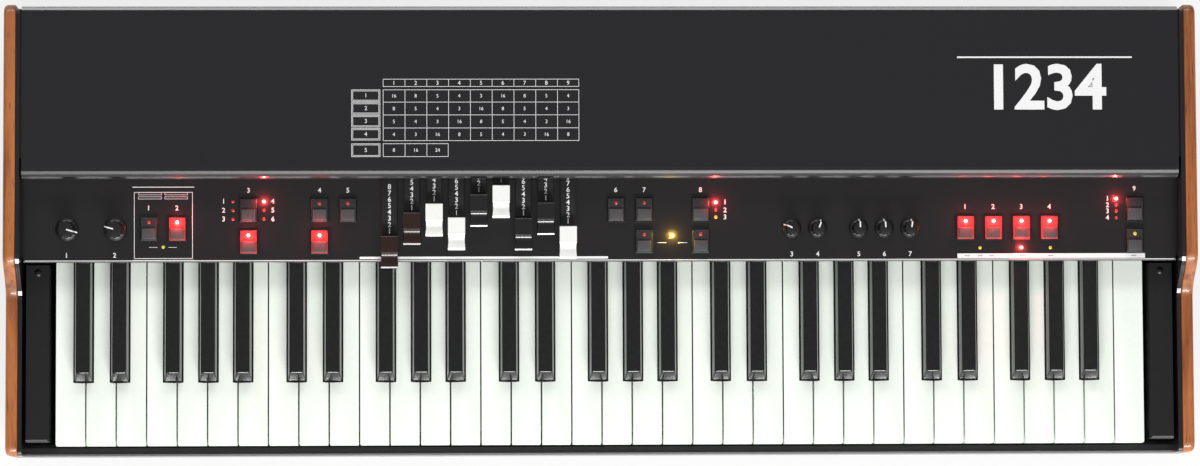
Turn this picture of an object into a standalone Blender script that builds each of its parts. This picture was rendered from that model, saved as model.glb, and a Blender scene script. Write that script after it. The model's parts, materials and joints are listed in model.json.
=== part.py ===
"""Electronic organ: a 61-note keyboard, nine drawbars, knobs and buttons in a steel and wood case.

Metres, +Z up, X to the player's right, the player at -Y. The origin is on the table under the case's middle.
"""

import math

import bmesh
import bpy
from mathutils import Matrix, Vector

# Fits and stock
GAP = 0.0003
STEEL = 0.0015
BOARD = 0.0016

# Keyboard: a white octave spans seven pitches
OCTAVES = 5
KEY_PITCH = 0.0235
KEY_GAP = 0.0010
KEY_DIP = 0.0100
WHITE_LIP_HEIGHT = 0.0190
WHITE_LIP = 0.0040
WHITE_BODY = 0.0110
WHITE_ROUND = 0.0020
VISIBLE_LENGTH = 0.1410
PIVOT_SETBACK = 0.2000
BAR_DEPTH = 0.0120
BLACK_BASE = 0.0144
BLACK_TOP = 0.0105
BLACK_RISE = 0.0115
BLACK_ROUND = 0.0010
BLACK_SETBACK = 0.0497
BLACK_NOSE = 0.0061
BLACK_DIP_DEGREES = 3.2
BLACK_CLEARANCE = 0.0008
# each black key: the white key it follows, and its offset from the joint between the whites
BLACK_PLACES = ((0, -0.0016), (1, 0.0030), (3, -0.0030), (4, 0.0007), (5, 0.0040))

# Case
FOOT_HEIGHT = 0.0080
FOOT_RADIUS = 0.0110
FOOT_INSET = 0.0450
KEYBED_HEIGHT = 0.0519
RAIL_DEPTH = 0.0063
RAIL_DROP = 0.0160
RAIL_GAP = 0.0012
END_BLOCK_GAP = 0.0042
END_BLOCK_WIDTH = 0.0183
END_BLOCK_RISE = 0.0015
END_BLOCK_CHAMFER = 0.0020
PLATE_GAP = 0.0025
PLATE = 0.0030
PLATE_PROUD = 0.0015
CHEEK = 0.0092
CHEEK_PROUD = 0.0030
CHEEK_FRONT_RISE = 0.0120
CHEEK_ROUND = 0.0035
STEP_LENGTH = 0.0330
STEP_START = 0.0047
CORNER = 0.0080
LEDGE = 0.0100

# Hood and control panel
PANEL_SLOPE = math.radians(3.5)
PANEL_DEPTH = 0.0635
PANEL_HEM = 0.0022
PANEL_SHELF = 0.0820
PANEL_BACK_GAP = 0.0012
HOOD_RISE = 0.0176
HOOD_FALL = 0.0015
HOOD_DEPTH = 0.1330
HOOD_BULLNOSE = 0.0080
HOOD_FLANGE = 0.0120

# Controls, laid out along the panel as shares of its half width and up it from its front edge
ROW_REAR = 0.0401
ROW_MIDDLE = 0.0257
ROW_FRONT = 0.0156
BUTTON_PITCH = 0.0218
BUTTON_WIDTH = 0.0128
BUTTON_LENGTH = 0.0178
BUTTON_RISE = 0.0030
BUTTON_PAD = 0.0014
BUTTON_PAD_LENGTH = 0.0098
BUTTON_TRAVEL = 0.0010
BUTTON_FLANGE = 0.0009
SWITCH = 0.0100
SWITCH_HEIGHT = 0.0035
LARGE_KNOB_RADIUS = 0.0090
SMALL_KNOB_RADIUS = 0.0075
KNOB_HEIGHT = 0.0150
KNOB_LIFT = 0.0006
KNOB_SPINDLE = 0.0030
KNOB_SIDES = 20
POT = 0.0110

# Drawbars
DRAWBAR_COUNT = 9
DRAWBAR_PITCH = 0.01725
DRAWBAR_AT = -0.2136
DRAWBAR_TRAVEL = 0.0390
DRAWBAR_IN = 0.0592
DRAWBAR_POSITIONS = (8.0, 4.3, 2.9, 5.1, 1.45, 0.0, 5.2, 2.75, 6.5)
DRAWBAR_COLOURS = ("brown", "brown", "white", "white", "black", "white", "black", "black", "white")
CAP_WIDTH = 0.0132
CAP_LENGTH = 0.0254
CAP_HEIGHT = 0.0110
CAP_LIFT = 0.0012
STEM_WIDTH = 0.0120
STEM_THICKNESS = 0.0030
STEM_LIFT = 0.0022
STEM_LENGTH = 0.0800
BLOCK_LENGTH = 0.0650
BLOCK_WALL = 0.0014

# Boards and switch inside and behind
MAIN_BOARD_SIZE = (0.2400, 0.0900)
MAIN_BOARD_AT = -0.4700
STAND_OFF = 0.0070
SOCKET = 0.0140
ROCKER_WIDTH = 0.0092
ROCKER_HEIGHT = 0.0136
ROCKER_DEPTH = 0.0060
ROCKER_TILT = math.radians(8.0)
ROCKER_AT = -0.8780
ROCKER_GAP = 0.0007

# Places that follow from the sizes above
WHITE_COUNT = 7 * OCTAVES + 1
KEYBOARD_HALF = WHITE_COUNT * KEY_PITCH / 2
BLOCK_INNER = KEYBOARD_HALF + END_BLOCK_GAP
PLATE_INNER = BLOCK_INNER + END_BLOCK_WIDTH + PLATE_GAP
PLATE_OUTER = PLATE_INNER + PLATE
CHEEK_INNER = PLATE_OUTER + GAP
PANEL_HALF = PLATE_INNER - PANEL_BACK_GAP
CASE_DEPTH = RAIL_DEPTH + RAIL_GAP + VISIBLE_LENGTH + PANEL_DEPTH + HOOD_DEPTH + CHEEK_PROUD / 2
FRONT_Y = -CASE_DEPTH / 2
KEY_FRONT_Y = FRONT_Y + RAIL_DEPTH + RAIL_GAP
PIVOT_Y = KEY_FRONT_Y + PIVOT_SETBACK
PANEL_Y = KEY_FRONT_Y + VISIBLE_LENGTH
HOOD_Y = PANEL_Y + PANEL_DEPTH
HOOD_REAR_Y = HOOD_Y + HOOD_DEPTH
REAR_Y = HOOD_REAR_Y - STEEL - GAP
FLOOR_Z = FOOT_HEIGHT + GAP
INSIDE_Z = FLOOR_Z + STEEL + GAP
KEY_TOP_Z = INSIDE_Z + KEYBED_HEIGHT
WHITE_UNDER_Z = KEY_TOP_Z - WHITE_BODY
KEYBED_TOP_Z = WHITE_UNDER_Z - KEY_DIP - 0.5 * BLACK_CLEARANCE
PANEL_Z = KEY_TOP_Z + BLACK_RISE + BLACK_CLEARANCE + PANEL_HEM
PANEL_REAR_Z = PANEL_Z + PANEL_DEPTH * math.tan(PANEL_SLOPE)
HOOD_FRONT_Z = PANEL_REAR_Z + HOOD_RISE
HOOD_REAR_Z = HOOD_FRONT_Z + HOOD_FALL
PLATE_TOP_Z = HOOD_REAR_Z + PLATE_PROUD
CHEEK_TOP_Z = HOOD_REAR_Z + CHEEK_PROUD
CHEEK_LOW_Z = KEY_TOP_Z + CHEEK_FRONT_RISE
RAIL_Z = KEY_TOP_Z - RAIL_DROP
BUTTON_DEPTH = STEEL + GAP + BUTTON_FLANGE
BOARD_TOP = -(BUTTON_DEPTH + BUTTON_TRAVEL + GAP + SWITCH_HEIGHT)
DRAWBAR_STEP = DRAWBAR_TRAVEL / 8
DRAWBAR_X = DRAWBAR_AT * PANEL_HALF
BLOCK_START = DRAWBAR_IN + 0.5 * (STEM_LENGTH - BLOCK_LENGTH)

# Buttons: name, share of the panel's half width at the group's first button, pitches along, row
BUTTONS = (
    ("rotor_run", -0.7832, 0, ROW_MIDDLE),
    ("rotor_fast", -0.7832, 1, ROW_MIDDLE),
    ("vibrato_select", -0.6116, 0, ROW_REAR),
    ("vibrato_on", -0.6116, 0, ROW_FRONT),
    ("upper_preset_1", -0.4889, 0, ROW_REAR),
    ("upper_preset_2", -0.4889, 1, ROW_REAR),
    ("upper_hold", -0.4889, 0, ROW_FRONT),
    ("lower_preset_1", 0.0243, 0, ROW_REAR),
    ("lower_preset_2", 0.0243, 1, ROW_REAR),
    ("lower_hold", 0.0243, 1, ROW_FRONT),
    ("mode_select", 0.1712, 0, ROW_REAR),
    ("pedals_on", 0.1712, 0, ROW_FRONT),
    ("percussion_1", 0.6322, 0, ROW_MIDDLE),
    ("percussion_2", 0.6322, 1, ROW_MIDDLE),
    ("percussion_3", 0.6322, 2, ROW_MIDDLE),
    ("percussion_4", 0.6322, 3, ROW_MIDDLE),
    ("type_select", 0.9278, 0, ROW_REAR),
    ("shift_select", 0.9278, 0, ROW_FRONT),
)

# Knobs: name, share of the panel's half width, skirt radius, pointer in degrees clockwise from the rear
KNOBS = (
    ("volume_knob", -0.9245, LARGE_KNOB_RADIUS, 107),
    ("drive_knob", -0.8415, LARGE_KNOB_RADIUS, -75),
    ("reverb_knob", 0.3295, SMALL_KNOB_RADIUS, -65),
    ("click_knob", 0.3745, SMALL_KNOB_RADIUS, 20),
    ("bass_knob", 0.4460, SMALL_KNOB_RADIUS, 0),
    ("mid_knob", 0.4905, SMALL_KNOB_RADIUS, -5),
    ("treble_knob", 0.5352, SMALL_KNOB_RADIUS, 8),
)


def finish(name, colour, roughness, metallic=0.0):
    """A painted, moulded or bare surface."""
    material = bpy.data.materials.new(name)
    material.use_nodes = True
    shader = material.node_tree.nodes["Principled BSDF"]
    shader.inputs["Base Color"].default_value = (*colour, 1.0)
    shader.inputs["Roughness"].default_value = roughness
    shader.inputs["Metallic"].default_value = metallic
    material.diffuse_color = (*colour, 1.0)
    return material


def to_mesh(bm, name):
    bmesh.ops.recalc_face_normals(bm, faces=bm.faces)
    mesh = bpy.data.meshes.new(name)
    bm.to_mesh(mesh)
    bm.free()
    return mesh


def arc(centre, radius, start, end, steps):
    """Points on an arc, angles in degrees."""
    points = []
    for i in range(steps + 1):
        angle = math.radians(start + (end - start) * i / steps)
        points.append((centre[0] + radius * math.cos(angle), centre[1] + radius * math.sin(angle)))
    return points


def sheet(path, thickness):
    """Closed outline of a sheet folded along path, its thickness laid on the right of the path."""
    inner = []
    for i, point in enumerate(path):
        normals = []
        for a, b in ((i - 1, i), (i, i + 1)):
            if a >= 0 and b < len(path):
                along = (Vector(path[b]) - Vector(path[a])).normalized()
                normals.append(Vector((along.y, -along.x)))
        first, last = normals[0], normals[-1]
        offset = (first + last) * thickness / (1 + first.dot(last))
        inner.append((point[0] + offset.x, point[1] + offset.y))
    return list(path) + inner[::-1]


def prism(outline, axis, low, high):
    """An outline pushed along an axis: (y, z) along X, (x, z) along Y, (x, y) along Z."""
    def corner(point, along):
        u, v = point
        return {"X": (along, u, v), "Y": (u, along, v), "Z": (u, v, along)}[axis]
    bm = bmesh.new()
    face = bm.faces.new([bm.verts.new(corner(point, low)) for point in outline])
    pushed = bmesh.ops.extrude_face_region(bm, geom=[face])
    moved = [item for item in pushed["geom"] if isinstance(item, bmesh.types.BMVert)]
    shift = Vector(corner((0, 0), high - low))
    bmesh.ops.translate(bm, verts=moved, vec=shift)
    return to_mesh(bm, "prism")


def block(low, high):
    bm = bmesh.new()
    bmesh.ops.create_cube(bm, size=1.0)
    size = Vector(high) - Vector(low)
    bmesh.ops.scale(bm, verts=bm.verts, vec=size)
    bmesh.ops.translate(bm, verts=bm.verts, vec=(Vector(low) + Vector(high)) / 2)
    return to_mesh(bm, "block")


def turned(profile, sides, centre=(0, 0, 0)):
    """A profile of (radius, height) points turned about Z; it starts and ends on the axis."""
    bm = bmesh.new()
    verts = [bm.verts.new((radius, 0, height)) for radius, height in profile]
    edges = [bm.edges.new(pair) for pair in zip(verts, verts[1:])]
    bmesh.ops.spin(bm, geom=verts + edges, cent=(0, 0, 0), axis=(0, 0, 1), angle=2 * math.pi,
                   steps=sides, use_merge=True)
    bmesh.ops.remove_doubles(bm, verts=bm.verts, dist=1e-6)
    bmesh.ops.translate(bm, verts=bm.verts, vec=centre)
    return to_mesh(bm, "turned")


def gather(meshes):
    """Several separate solids as one mesh, a tool for a cut or a union."""
    bm = bmesh.new()
    for mesh in meshes:
        bm.from_mesh(mesh)
    return to_mesh(bm, "gathered")


def combine(base, tool, operation):
    """Boolean of two meshes."""
    body = bpy.data.objects.new("body", base)
    other = bpy.data.objects.new("other", tool)
    for item in (body, other):
        bpy.context.scene.collection.objects.link(item)
    modifier = body.modifiers.new("boolean", "BOOLEAN")
    modifier.operation = operation
    modifier.object = other
    evaluated = body.evaluated_get(bpy.context.evaluated_depsgraph_get())
    result = bpy.data.meshes.new_from_object(evaluated)
    for item in (body, other):
        bpy.data.objects.remove(item)
    return result


def moved(mesh, shift):
    copy = mesh.copy()
    copy.transform(Matrix.Translation(shift))
    return copy


def place(name, mesh, material, location=(0, 0, 0), parent=None):
    item = bpy.data.objects.new(name, mesh)
    bpy.context.scene.collection.objects.link(item)
    if not mesh.materials:
        mesh.materials.append(None)
    item.material_slots[0].link = "OBJECT"
    item.material_slots[0].material = material
    item.location = location
    item.parent = parent
    mesh.shade_smooth()
    mesh.set_sharp_from_angle(angle=math.radians(35))
    return item


def natural_tail(index):
    """Left and right side of a white key's narrow tail beside the black keys."""
    left = index * KEY_PITCH + KEY_GAP / 2
    right = (index + 1) * KEY_PITCH - KEY_GAP / 2
    reach = BLACK_BASE / 2 + BLACK_CLEARANCE
    for after, offset in BLACK_PLACES:
        middle = (after + 1) * KEY_PITCH + offset
        if after == index:
            right = min(right, middle - reach)
        if after == index - 1:
            left = max(left, middle + reach)
    return left, right


def white_keys(count):
    """A run of white keys on one hinge bar, from the octave's left end, key fronts at y 0, tops at z 0."""
    notch = BLACK_SETBACK - BLACK_CLEARANCE
    bar = PIVOT_SETBACK - BAR_DEPTH / 2
    outline = []
    for i in range(count):
        left, right = i * KEY_PITCH + KEY_GAP / 2, (i + 1) * KEY_PITCH - KEY_GAP / 2
        tail_left, tail_right = natural_tail(i)
        if i > 0:
            outline.append((tail_left, bar))
        if tail_left > left:
            outline += [(tail_left, notch), (left, notch)]
        outline += [(left, 0), (right, 0)]
        if tail_right < right:
            outline += [(right, notch), (tail_right, notch)]
        if i < count - 1:
            outline.append((tail_right, bar))
    outline += [(tail_right, bar + BAR_DEPTH), (KEY_GAP / 2, bar + BAR_DEPTH)]
    bm = bmesh.new()
    bm.from_mesh(prism(outline, "Z", -WHITE_BODY, 0))
    everything = bm.verts[:] + bm.edges[:] + bm.faces[:]
    bmesh.ops.bisect_plane(bm, geom=everything, plane_co=(0, WHITE_LIP, 0), plane_no=(0, 1, 0))
    bm.normal_update()
    lips = [face for face in bm.faces
            if face.normal.z < -0.9 and face.calc_center_median().y < WHITE_LIP]
    pushed = bmesh.ops.extrude_face_region(bm, geom=lips)
    lowered = [item for item in pushed["geom"] if isinstance(item, bmesh.types.BMVert)]
    bmesh.ops.delete(bm, geom=lips, context="FACES_ONLY")
    bmesh.ops.translate(bm, verts=lowered, vec=(0, 0, WHITE_BODY - WHITE_LIP_HEIGHT))
    rounded = [edge for edge in bm.edges if all(abs(v.co.y) < 1e-6 for v in edge.verts)
               and all(abs(v.co.z) < 1e-6 for v in edge.verts)]
    bmesh.ops.bevel(bm, geom=rounded, offset=WHITE_ROUND, segments=3, profile=0.5, affect="EDGES", material=-1)
    return to_mesh(bm, "white_keys")


def black_key(middle, under):
    """One black key: tapered cap, low tail under the panel and a heel that drops to the hinge bar."""
    cap_end = VISIBLE_LENGTH + STEEL
    heel = PIVOT_SETBACK - BAR_DEPTH / 2 - 3 * BLACK_CLEARANCE
    heel_front = heel - 0.5 * BAR_DEPTH
    tail_top = -WHITE_BODY / 2
    side = [(BLACK_SETBACK, -WHITE_BODY), (heel_front, -WHITE_BODY), (heel_front, under), (heel, under),
            (heel, tail_top), (cap_end, tail_top), (cap_end, 0), (cap_end, BLACK_RISE),
            (BLACK_SETBACK + BLACK_NOSE, BLACK_RISE), (BLACK_SETBACK, 0)]
    bm = bmesh.new()
    bm.from_mesh(prism(side, "X", -BLACK_BASE / 2, BLACK_BASE / 2))
    everything = bm.verts[:] + bm.edges[:] + bm.faces[:]
    bmesh.ops.bisect_plane(bm, geom=everything, plane_co=(0, 0, 0), plane_no=(0, 0, 1))
    top = [v for v in bm.verts if v.co.z > BLACK_RISE - 1e-6]
    for v in top:
        v.co.x *= BLACK_TOP / BLACK_BASE
    ridge = [edge for edge in bm.edges if all(v in top for v in edge.verts)
             and not all(v.co.y > cap_end - 1e-6 for v in edge.verts)]
    bmesh.ops.bevel(bm, geom=ridge, offset=BLACK_ROUND, segments=2, profile=0.5, affect="EDGES", material=-1)
    bmesh.ops.translate(bm, verts=bm.verts, vec=(middle, 0, 0))
    return to_mesh(bm, "black_key")


def black_keys(under, bar_top):
    """An octave of black keys on one hinge bar that passes under the white keys' bar."""
    fingers = []
    for after, offset in BLACK_PLACES:
        fingers.append(black_key((after + 1) * KEY_PITCH + offset, under))
    front = PIVOT_SETBACK - BAR_DEPTH - 3 * BLACK_CLEARANCE
    first = BLACK_PLACES[0][1] + KEY_PITCH - BLACK_BASE / 2
    last = BLACK_PLACES[-1][1] + 6 * KEY_PITCH + BLACK_BASE / 2
    bar = block((first - GAP, front - GAP, under - GAP), (last + GAP, PIVOT_SETBACK + BAR_DEPTH / 2, bar_top))
    return combine(bar, gather(fingers), "UNION")


def keyboard(ivory, ebony):
    under = KEYBED_TOP_Z + 1.5 * BLACK_CLEARANCE - KEY_TOP_Z
    bar_top = -WHITE_BODY - 2 * BLACK_CLEARANCE
    axis = Vector((0, PIVOT_SETBACK, -WHITE_BODY / 2))
    black_axis = Vector((0, PIVOT_SETBACK, (under + bar_top) / 2))
    octave = moved(white_keys(7), -axis)
    last_octave = moved(white_keys(8), -axis)
    sharps = moved(black_keys(under, bar_top), -black_axis)
    for i in range(OCTAVES):
        start = Vector((-KEYBOARD_HALF + 7 * i * KEY_PITCH, KEY_FRONT_Y, KEY_TOP_Z))
        whites = last_octave if i == OCTAVES - 1 else octave
        place(f"white_keys_{i + 1}", whites, ivory, start + axis)
        place(f"black_keys_{i + 1}", sharps, ebony, start + black_axis)


def keybed_frame():
    """Steel channel under the keys: it stops them and carries the hinge bars."""
    front = KEY_FRONT_Y + 2.75 * WHITE_LIP
    rear = PIVOT_Y + 1.2 * BAR_DEPTH
    fold = 0.0080
    path = [(front + fold, INSIDE_Z), (front, INSIDE_Z), (front, KEYBED_TOP_Z), (rear, KEYBED_TOP_Z),
            (rear, INSIDE_Z), (rear - fold, INSIDE_Z)]
    return prism(sheet(path, STEEL), "X", -KEYBOARD_HALF, KEYBOARD_HALF)


def stepped_side(front, rear, bottom, low, high, corner):
    """Outline of a case side: high beside the hood, stepping down in a smooth S beside the keys."""
    step_rear = PANEL_Y + STEP_START
    points = [(front, bottom), (rear, bottom)]
    points += arc((rear - corner, high - corner), corner, 0, 90, 4)
    steps = 10
    for i in range(steps + 1):
        share = i / steps
        z = low + (high - low) * (1 + math.cos(math.pi * share)) / 2
        points.append((step_rear - STEP_LENGTH * share, z))
    points += arc((front + corner, low - corner), corner, 90, 180, 4)
    return points


def cheek(side):
    """Wooden cheek with its outer edges rounded over."""
    outline = stepped_side(FRONT_Y, -FRONT_Y, FLOOR_Z, CHEEK_LOW_Z, CHEEK_TOP_Z, CORNER)
    bm = bmesh.new()
    bm.from_mesh(prism(outline, "X", side * CHEEK_INNER, side * (CHEEK_INNER + CHEEK)))
    outer = [edge for edge in bm.edges
             if all(abs(abs(v.co.x) - CHEEK_INNER - CHEEK) < 1e-5 for v in edge.verts)]
    bmesh.ops.bevel(bm, geom=outer, offset=CHEEK_ROUND, segments=3, profile=0.5, affect="EDGES", material=-1)
    return to_mesh(bm, "cheek")


def rocker_height():
    return INSIDE_Z + 1.6 * ROCKER_HEIGHT + STAND_OFF


def chassis():
    """Folded tray with its front rail and rear wall, the two end plates and their ledges."""
    wall_top = HOOD_REAR_Z - 2 * STEEL - GAP
    rail_rear = FRONT_Y + RAIL_DEPTH
    radius = STEEL
    path = [(rail_rear, RAIL_Z - 3 * STEEL), (rail_rear, RAIL_Z)]
    path += arc((FRONT_Y + radius, RAIL_Z - radius), radius, 90, 180, 2)
    path += [(FRONT_Y, FLOOR_Z), (REAR_Y, FLOOR_Z), (REAR_Y, wall_top), (REAR_Y - HOOD_FLANGE, wall_top)]
    body = prism(sheet(path, -STEEL), "X", -PLATE_INNER - PLATE / 2, PLATE_INNER + PLATE / 2)
    side = stepped_side(FRONT_Y, REAR_Y, FLOOR_Z, CHEEK_LOW_Z - PLATE_PROUD - STEEL, PLATE_TOP_Z, CORNER / 2)
    drop = 1.5 * STEEL
    slope = math.tan(PANEL_SLOPE)
    panel_under = PANEL_Z - STEEL / math.cos(PANEL_SLOPE) - GAP
    start, end = PANEL_Y + 2 * PANEL_HEM, HOOD_Y + PANEL_SHELF
    low, high = panel_under + (start - PANEL_Y) * slope, panel_under + (end - PANEL_Y) * slope
    panel_ledge = [(start, low), (end, high), (end, high - drop), (start, low - drop)]
    start, end = HOOD_Y + 2 * HOOD_BULLNOSE, REAR_Y - 2 * STEEL
    fall = HOOD_FALL / (HOOD_DEPTH - HOOD_BULLNOSE)
    under = HOOD_FRONT_Z - STEEL - GAP
    low = under + (start - HOOD_Y - HOOD_BULLNOSE) * fall
    high = under + (end - HOOD_Y - HOOD_BULLNOSE) * fall
    hood_ledge = [(start, low), (end, high), (end, high - drop), (start, low - drop)]
    for sign in (-1, 1):
        plate = prism(side, "X", sign * PLATE_INNER, sign * PLATE_OUTER)
        body = combine(body, plate, "UNION")
        reach = sign * (PLATE_INNER - LEDGE)
        ledges = [prism(outline, "X", reach, sign * (PLATE_INNER + PLATE / 2))
                  for outline in (panel_ledge, hood_ledge)]
        body = combine(body, gather(ledges), "UNION")
    middle = ROCKER_AT * PANEL_HALF
    half_width, half_height = ROCKER_WIDTH / 2 + ROCKER_GAP, ROCKER_HEIGHT / 2 + ROCKER_GAP
    height = rocker_height()
    opening = block((middle - half_width, REAR_Y - 2 * STEEL, height - half_height),
                    (middle + half_width, REAR_Y + STEEL, height + half_height))
    return combine(body, opening, "DIFFERENCE")


def hood():
    """Top cover with a bullnose front, a face that stands on the panel and a flange behind the rear wall."""
    face_foot = PANEL_REAR_Z + GAP + STEEL * math.tan(PANEL_SLOPE)
    nose = HOOD_BULLNOSE
    path = [(HOOD_Y, face_foot)]
    path += arc((HOOD_Y + nose, HOOD_FRONT_Z - nose), nose, 180, 90, 5)
    path += arc((HOOD_REAR_Y - 2 * STEEL, HOOD_REAR_Z - 2 * STEEL), 2 * STEEL, 90, 0, 2)
    path.append((HOOD_REAR_Y, HOOD_REAR_Z - HOOD_FLANGE))
    cover = prism(sheet(path, STEEL), "X", -PANEL_HALF, PANEL_HALF)
    half = drawbar_field_half()
    slot_top = PANEL_REAR_Z + (STEM_LIFT + STEM_THICKNESS) / math.cos(PANEL_SLOPE) + 2 * GAP
    slot = block((DRAWBAR_X - half, HOOD_Y - STEEL, face_foot - STEEL),
                 (DRAWBAR_X + half, HOOD_Y + 2 * STEEL, slot_top + STEEL / 2))
    return combine(cover, slot, "DIFFERENCE")


def drawbar_field_half():
    return (DRAWBAR_COUNT - 1) * DRAWBAR_PITCH / 2 + CAP_WIDTH / 2 + BLOCK_WALL


def button_x(share, pitches):
    return share * PANEL_HALF + pitches * BUTTON_PITCH


def control_panel():
    """Sloping sheet with a rounded front hem, cut for every button and knob; it runs on under the hood."""
    length = (PANEL_DEPTH + PANEL_SHELF) / math.cos(PANEL_SLOPE)
    nose = PANEL_HEM / 2
    outline = [(length, -STEEL), (length, 0)] + arc((nose, -nose), nose, 90, 270, 4) + [(2 * nose, -STEEL)]
    panel = prism(outline, "X", -PANEL_HALF, PANEL_HALF)
    cuts = []
    for name, share, pitches, row in BUTTONS:
        x = button_x(share, pitches)
        half_width, half_length = BUTTON_WIDTH / 2 + GAP, BUTTON_LENGTH / 2 + GAP
        cuts.append(block((x - half_width, row - half_length, -3 * STEEL),
                          (x + half_width, row + half_length, 2 * STEEL)))
    for name, share, radius, pointer in KNOBS:
        x = share * PANEL_HALF
        hole = KNOB_SPINDLE + GAP
        cuts.append(prism(arc((x, ROW_MIDDLE), hole, 0, 330, 11), "Z", -3 * STEEL, 2 * STEEL))
    return combine(panel, gather(cuts), "DIFFERENCE")


def button():
    """Push button: window half at the rear, raised finger pad in front, retaining flange under the panel."""
    half_width, half_length = BUTTON_WIDTH / 2, BUTTON_LENGTH / 2
    flange = BUTTON_FLANGE
    pad = -half_length + BUTTON_PAD_LENGTH
    top, rim = BUTTON_RISE, -STEEL - GAP
    side = [(-half_length - flange, -BUTTON_DEPTH), (half_length + flange, -BUTTON_DEPTH),
            (half_length + flange, rim), (half_length, rim), (half_length, top), (pad, top),
            (pad - flange / 2, top + BUTTON_PAD), (-half_length + flange, top + BUTTON_PAD),
            (-half_length, top), (-half_length, rim), (-half_length - flange, rim)]
    return prism(side, "X", -half_width, half_width)


def knob(radius):
    """Fluted grip on a wide skirt, with the spindle that enters the control below."""
    grip, height = 0.66 * radius, KNOB_LIFT + KNOB_HEIGHT
    skirt = KNOB_LIFT + 0.16 * KNOB_HEIGHT
    profile = [(0, -BUTTON_DEPTH - SWITCH_HEIGHT / 2), (KNOB_SPINDLE, -BUTTON_DEPTH - SWITCH_HEIGHT / 2),
               (KNOB_SPINDLE, KNOB_LIFT), (radius, KNOB_LIFT), (0.97 * radius, skirt),
               (grip * 1.18, skirt + 0.10 * KNOB_HEIGHT), (grip, height - 0.06 * KNOB_HEIGHT),
               (grip * 0.92, height), (0, height)]
    return turned(profile, KNOB_SIDES)


def drawbar():
    """Cap with a flat rear table, a ridge, a finger hollow and a lip, on a flat bar; rear edge of the cap at 0."""
    top, front = CAP_LIFT + CAP_HEIGHT, -CAP_LENGTH
    table = 0.44 * CAP_LENGTH
    side = [(0, CAP_LIFT), (0, top - STEEL / 2), (-STEEL / 2, top), (-table, top), (-table - STEEL, top - STEEL)]
    hollow = arc((-table - 0.25 * CAP_LENGTH, top), 0.22 * CAP_LENGTH, -20, -110, 4)
    side += hollow
    lip = CAP_LIFT + 0.55 * CAP_HEIGHT
    side += [(front + 2 * STEEL, lip), (front + STEEL, lip + STEEL / 3), (front, lip - STEEL / 2), (front, CAP_LIFT)]
    cap = prism(side, "X", -CAP_WIDTH / 2, CAP_WIDTH / 2)
    stem = block((-STEM_WIDTH / 2, -CAP_LENGTH / 2, STEM_LIFT),
                 (STEM_WIDTH / 2, STEM_LENGTH, STEM_LIFT + STEM_THICKNESS))
    return combine(cap, stem, "UNION")


def drawbar_block():
    """Guide under the hood with a channel for each bar."""
    floor, top = GAP, STEM_LIFT + STEM_THICKNESS + GAP
    bed = STEM_LIFT - GAP
    half = drawbar_field_half()
    channel = STEM_WIDTH / 2 + GAP
    outline = [(-half, floor), (half, floor), (half, top)]
    for i in reversed(range(DRAWBAR_COUNT)):
        middle = (i - (DRAWBAR_COUNT - 1) / 2) * DRAWBAR_PITCH
        outline += [(middle + channel, top), (middle + channel, bed), (middle - channel, bed), (middle - channel, top)]
    outline.append((-half, top))
    return prism(outline, "Y", BLOCK_START, BLOCK_START + BLOCK_LENGTH)


def panel_board():
    """Circuit board under the panel with a switch below each button and a bored control below each knob."""
    half, front = PLATE_INNER - LEDGE - 2 * GAP, ROW_FRONT - BUTTON_LENGTH / 2
    rear = ROW_REAR + BUTTON_LENGTH / 2
    plate = block((-half, front, BOARD_TOP - BOARD), (half, rear, BOARD_TOP))
    parts, bores = [], []
    sunk = BOARD_TOP - GAP
    for name, share, pitches, row in BUTTONS:
        x = button_x(share, pitches)
        parts.append(block((x - SWITCH / 2, row - SWITCH / 2, sunk),
                           (x + SWITCH / 2, row + SWITCH / 2, BOARD_TOP + SWITCH_HEIGHT)))
    for name, share, radius, pointer in KNOBS:
        x = share * PANEL_HALF
        parts.append(block((x - POT / 2, ROW_MIDDLE - POT / 2, sunk),
                           (x + POT / 2, ROW_MIDDLE + POT / 2, -STEEL - GAP)))
        bores.append(prism(arc((x, ROW_MIDDLE), KNOB_SPINDLE + GAP, 0, 330, 11), "Z",
                           -BUTTON_DEPTH - SWITCH_HEIGHT / 2 - GAP, STEEL))
    fitted = combine(plate, gather(parts), "UNION")
    return combine(fitted, gather(bores), "DIFFERENCE")


def main_board():
    """Board on stand-offs in the bay behind the keys, with its heat sink, capacitors and sockets."""
    width, depth = MAIN_BOARD_SIZE
    left = MAIN_BOARD_AT * PANEL_HALF - width / 2
    rear = REAR_Y - STEEL - SOCKET / 4
    front = rear - depth
    under = INSIDE_Z + STAND_OFF
    top = under + BOARD
    plate = block((left, front, under), (left + width, rear, top))
    leg = 0.0060
    parts = []
    for x in (left + leg, left + width - leg):
        for y in (front + leg, rear - leg):
            parts.append(block((x - leg / 2, y - leg / 2, INSIDE_Z), (x + leg / 2, y + leg / 2, under + GAP)))
    for i in range(6):
        x = left + (i + 1) * width / 7
        parts.append(block((x - SOCKET / 2, rear - SOCKET, top - GAP), (x + SOCKET / 2, rear + GAP, top + SOCKET)))
    fin = 0.0030
    for i in range(5):
        x = left + width / 4 + 2 * i * fin
        parts.append(block((x, front + depth / 5, top - GAP), (x + fin, front + depth / 2, top + 2 * SOCKET / 3)))
    for i in range(3):
        x = left + width / 2 + 1.3 * i * SOCKET
        ring = arc((x, front + depth / 3), SOCKET / 2, 0, 324, 9)
        parts.append(prism(ring, "Z", top - GAP, top + SOCKET))
    return combine(plate, gather(parts), "UNION")


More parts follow.
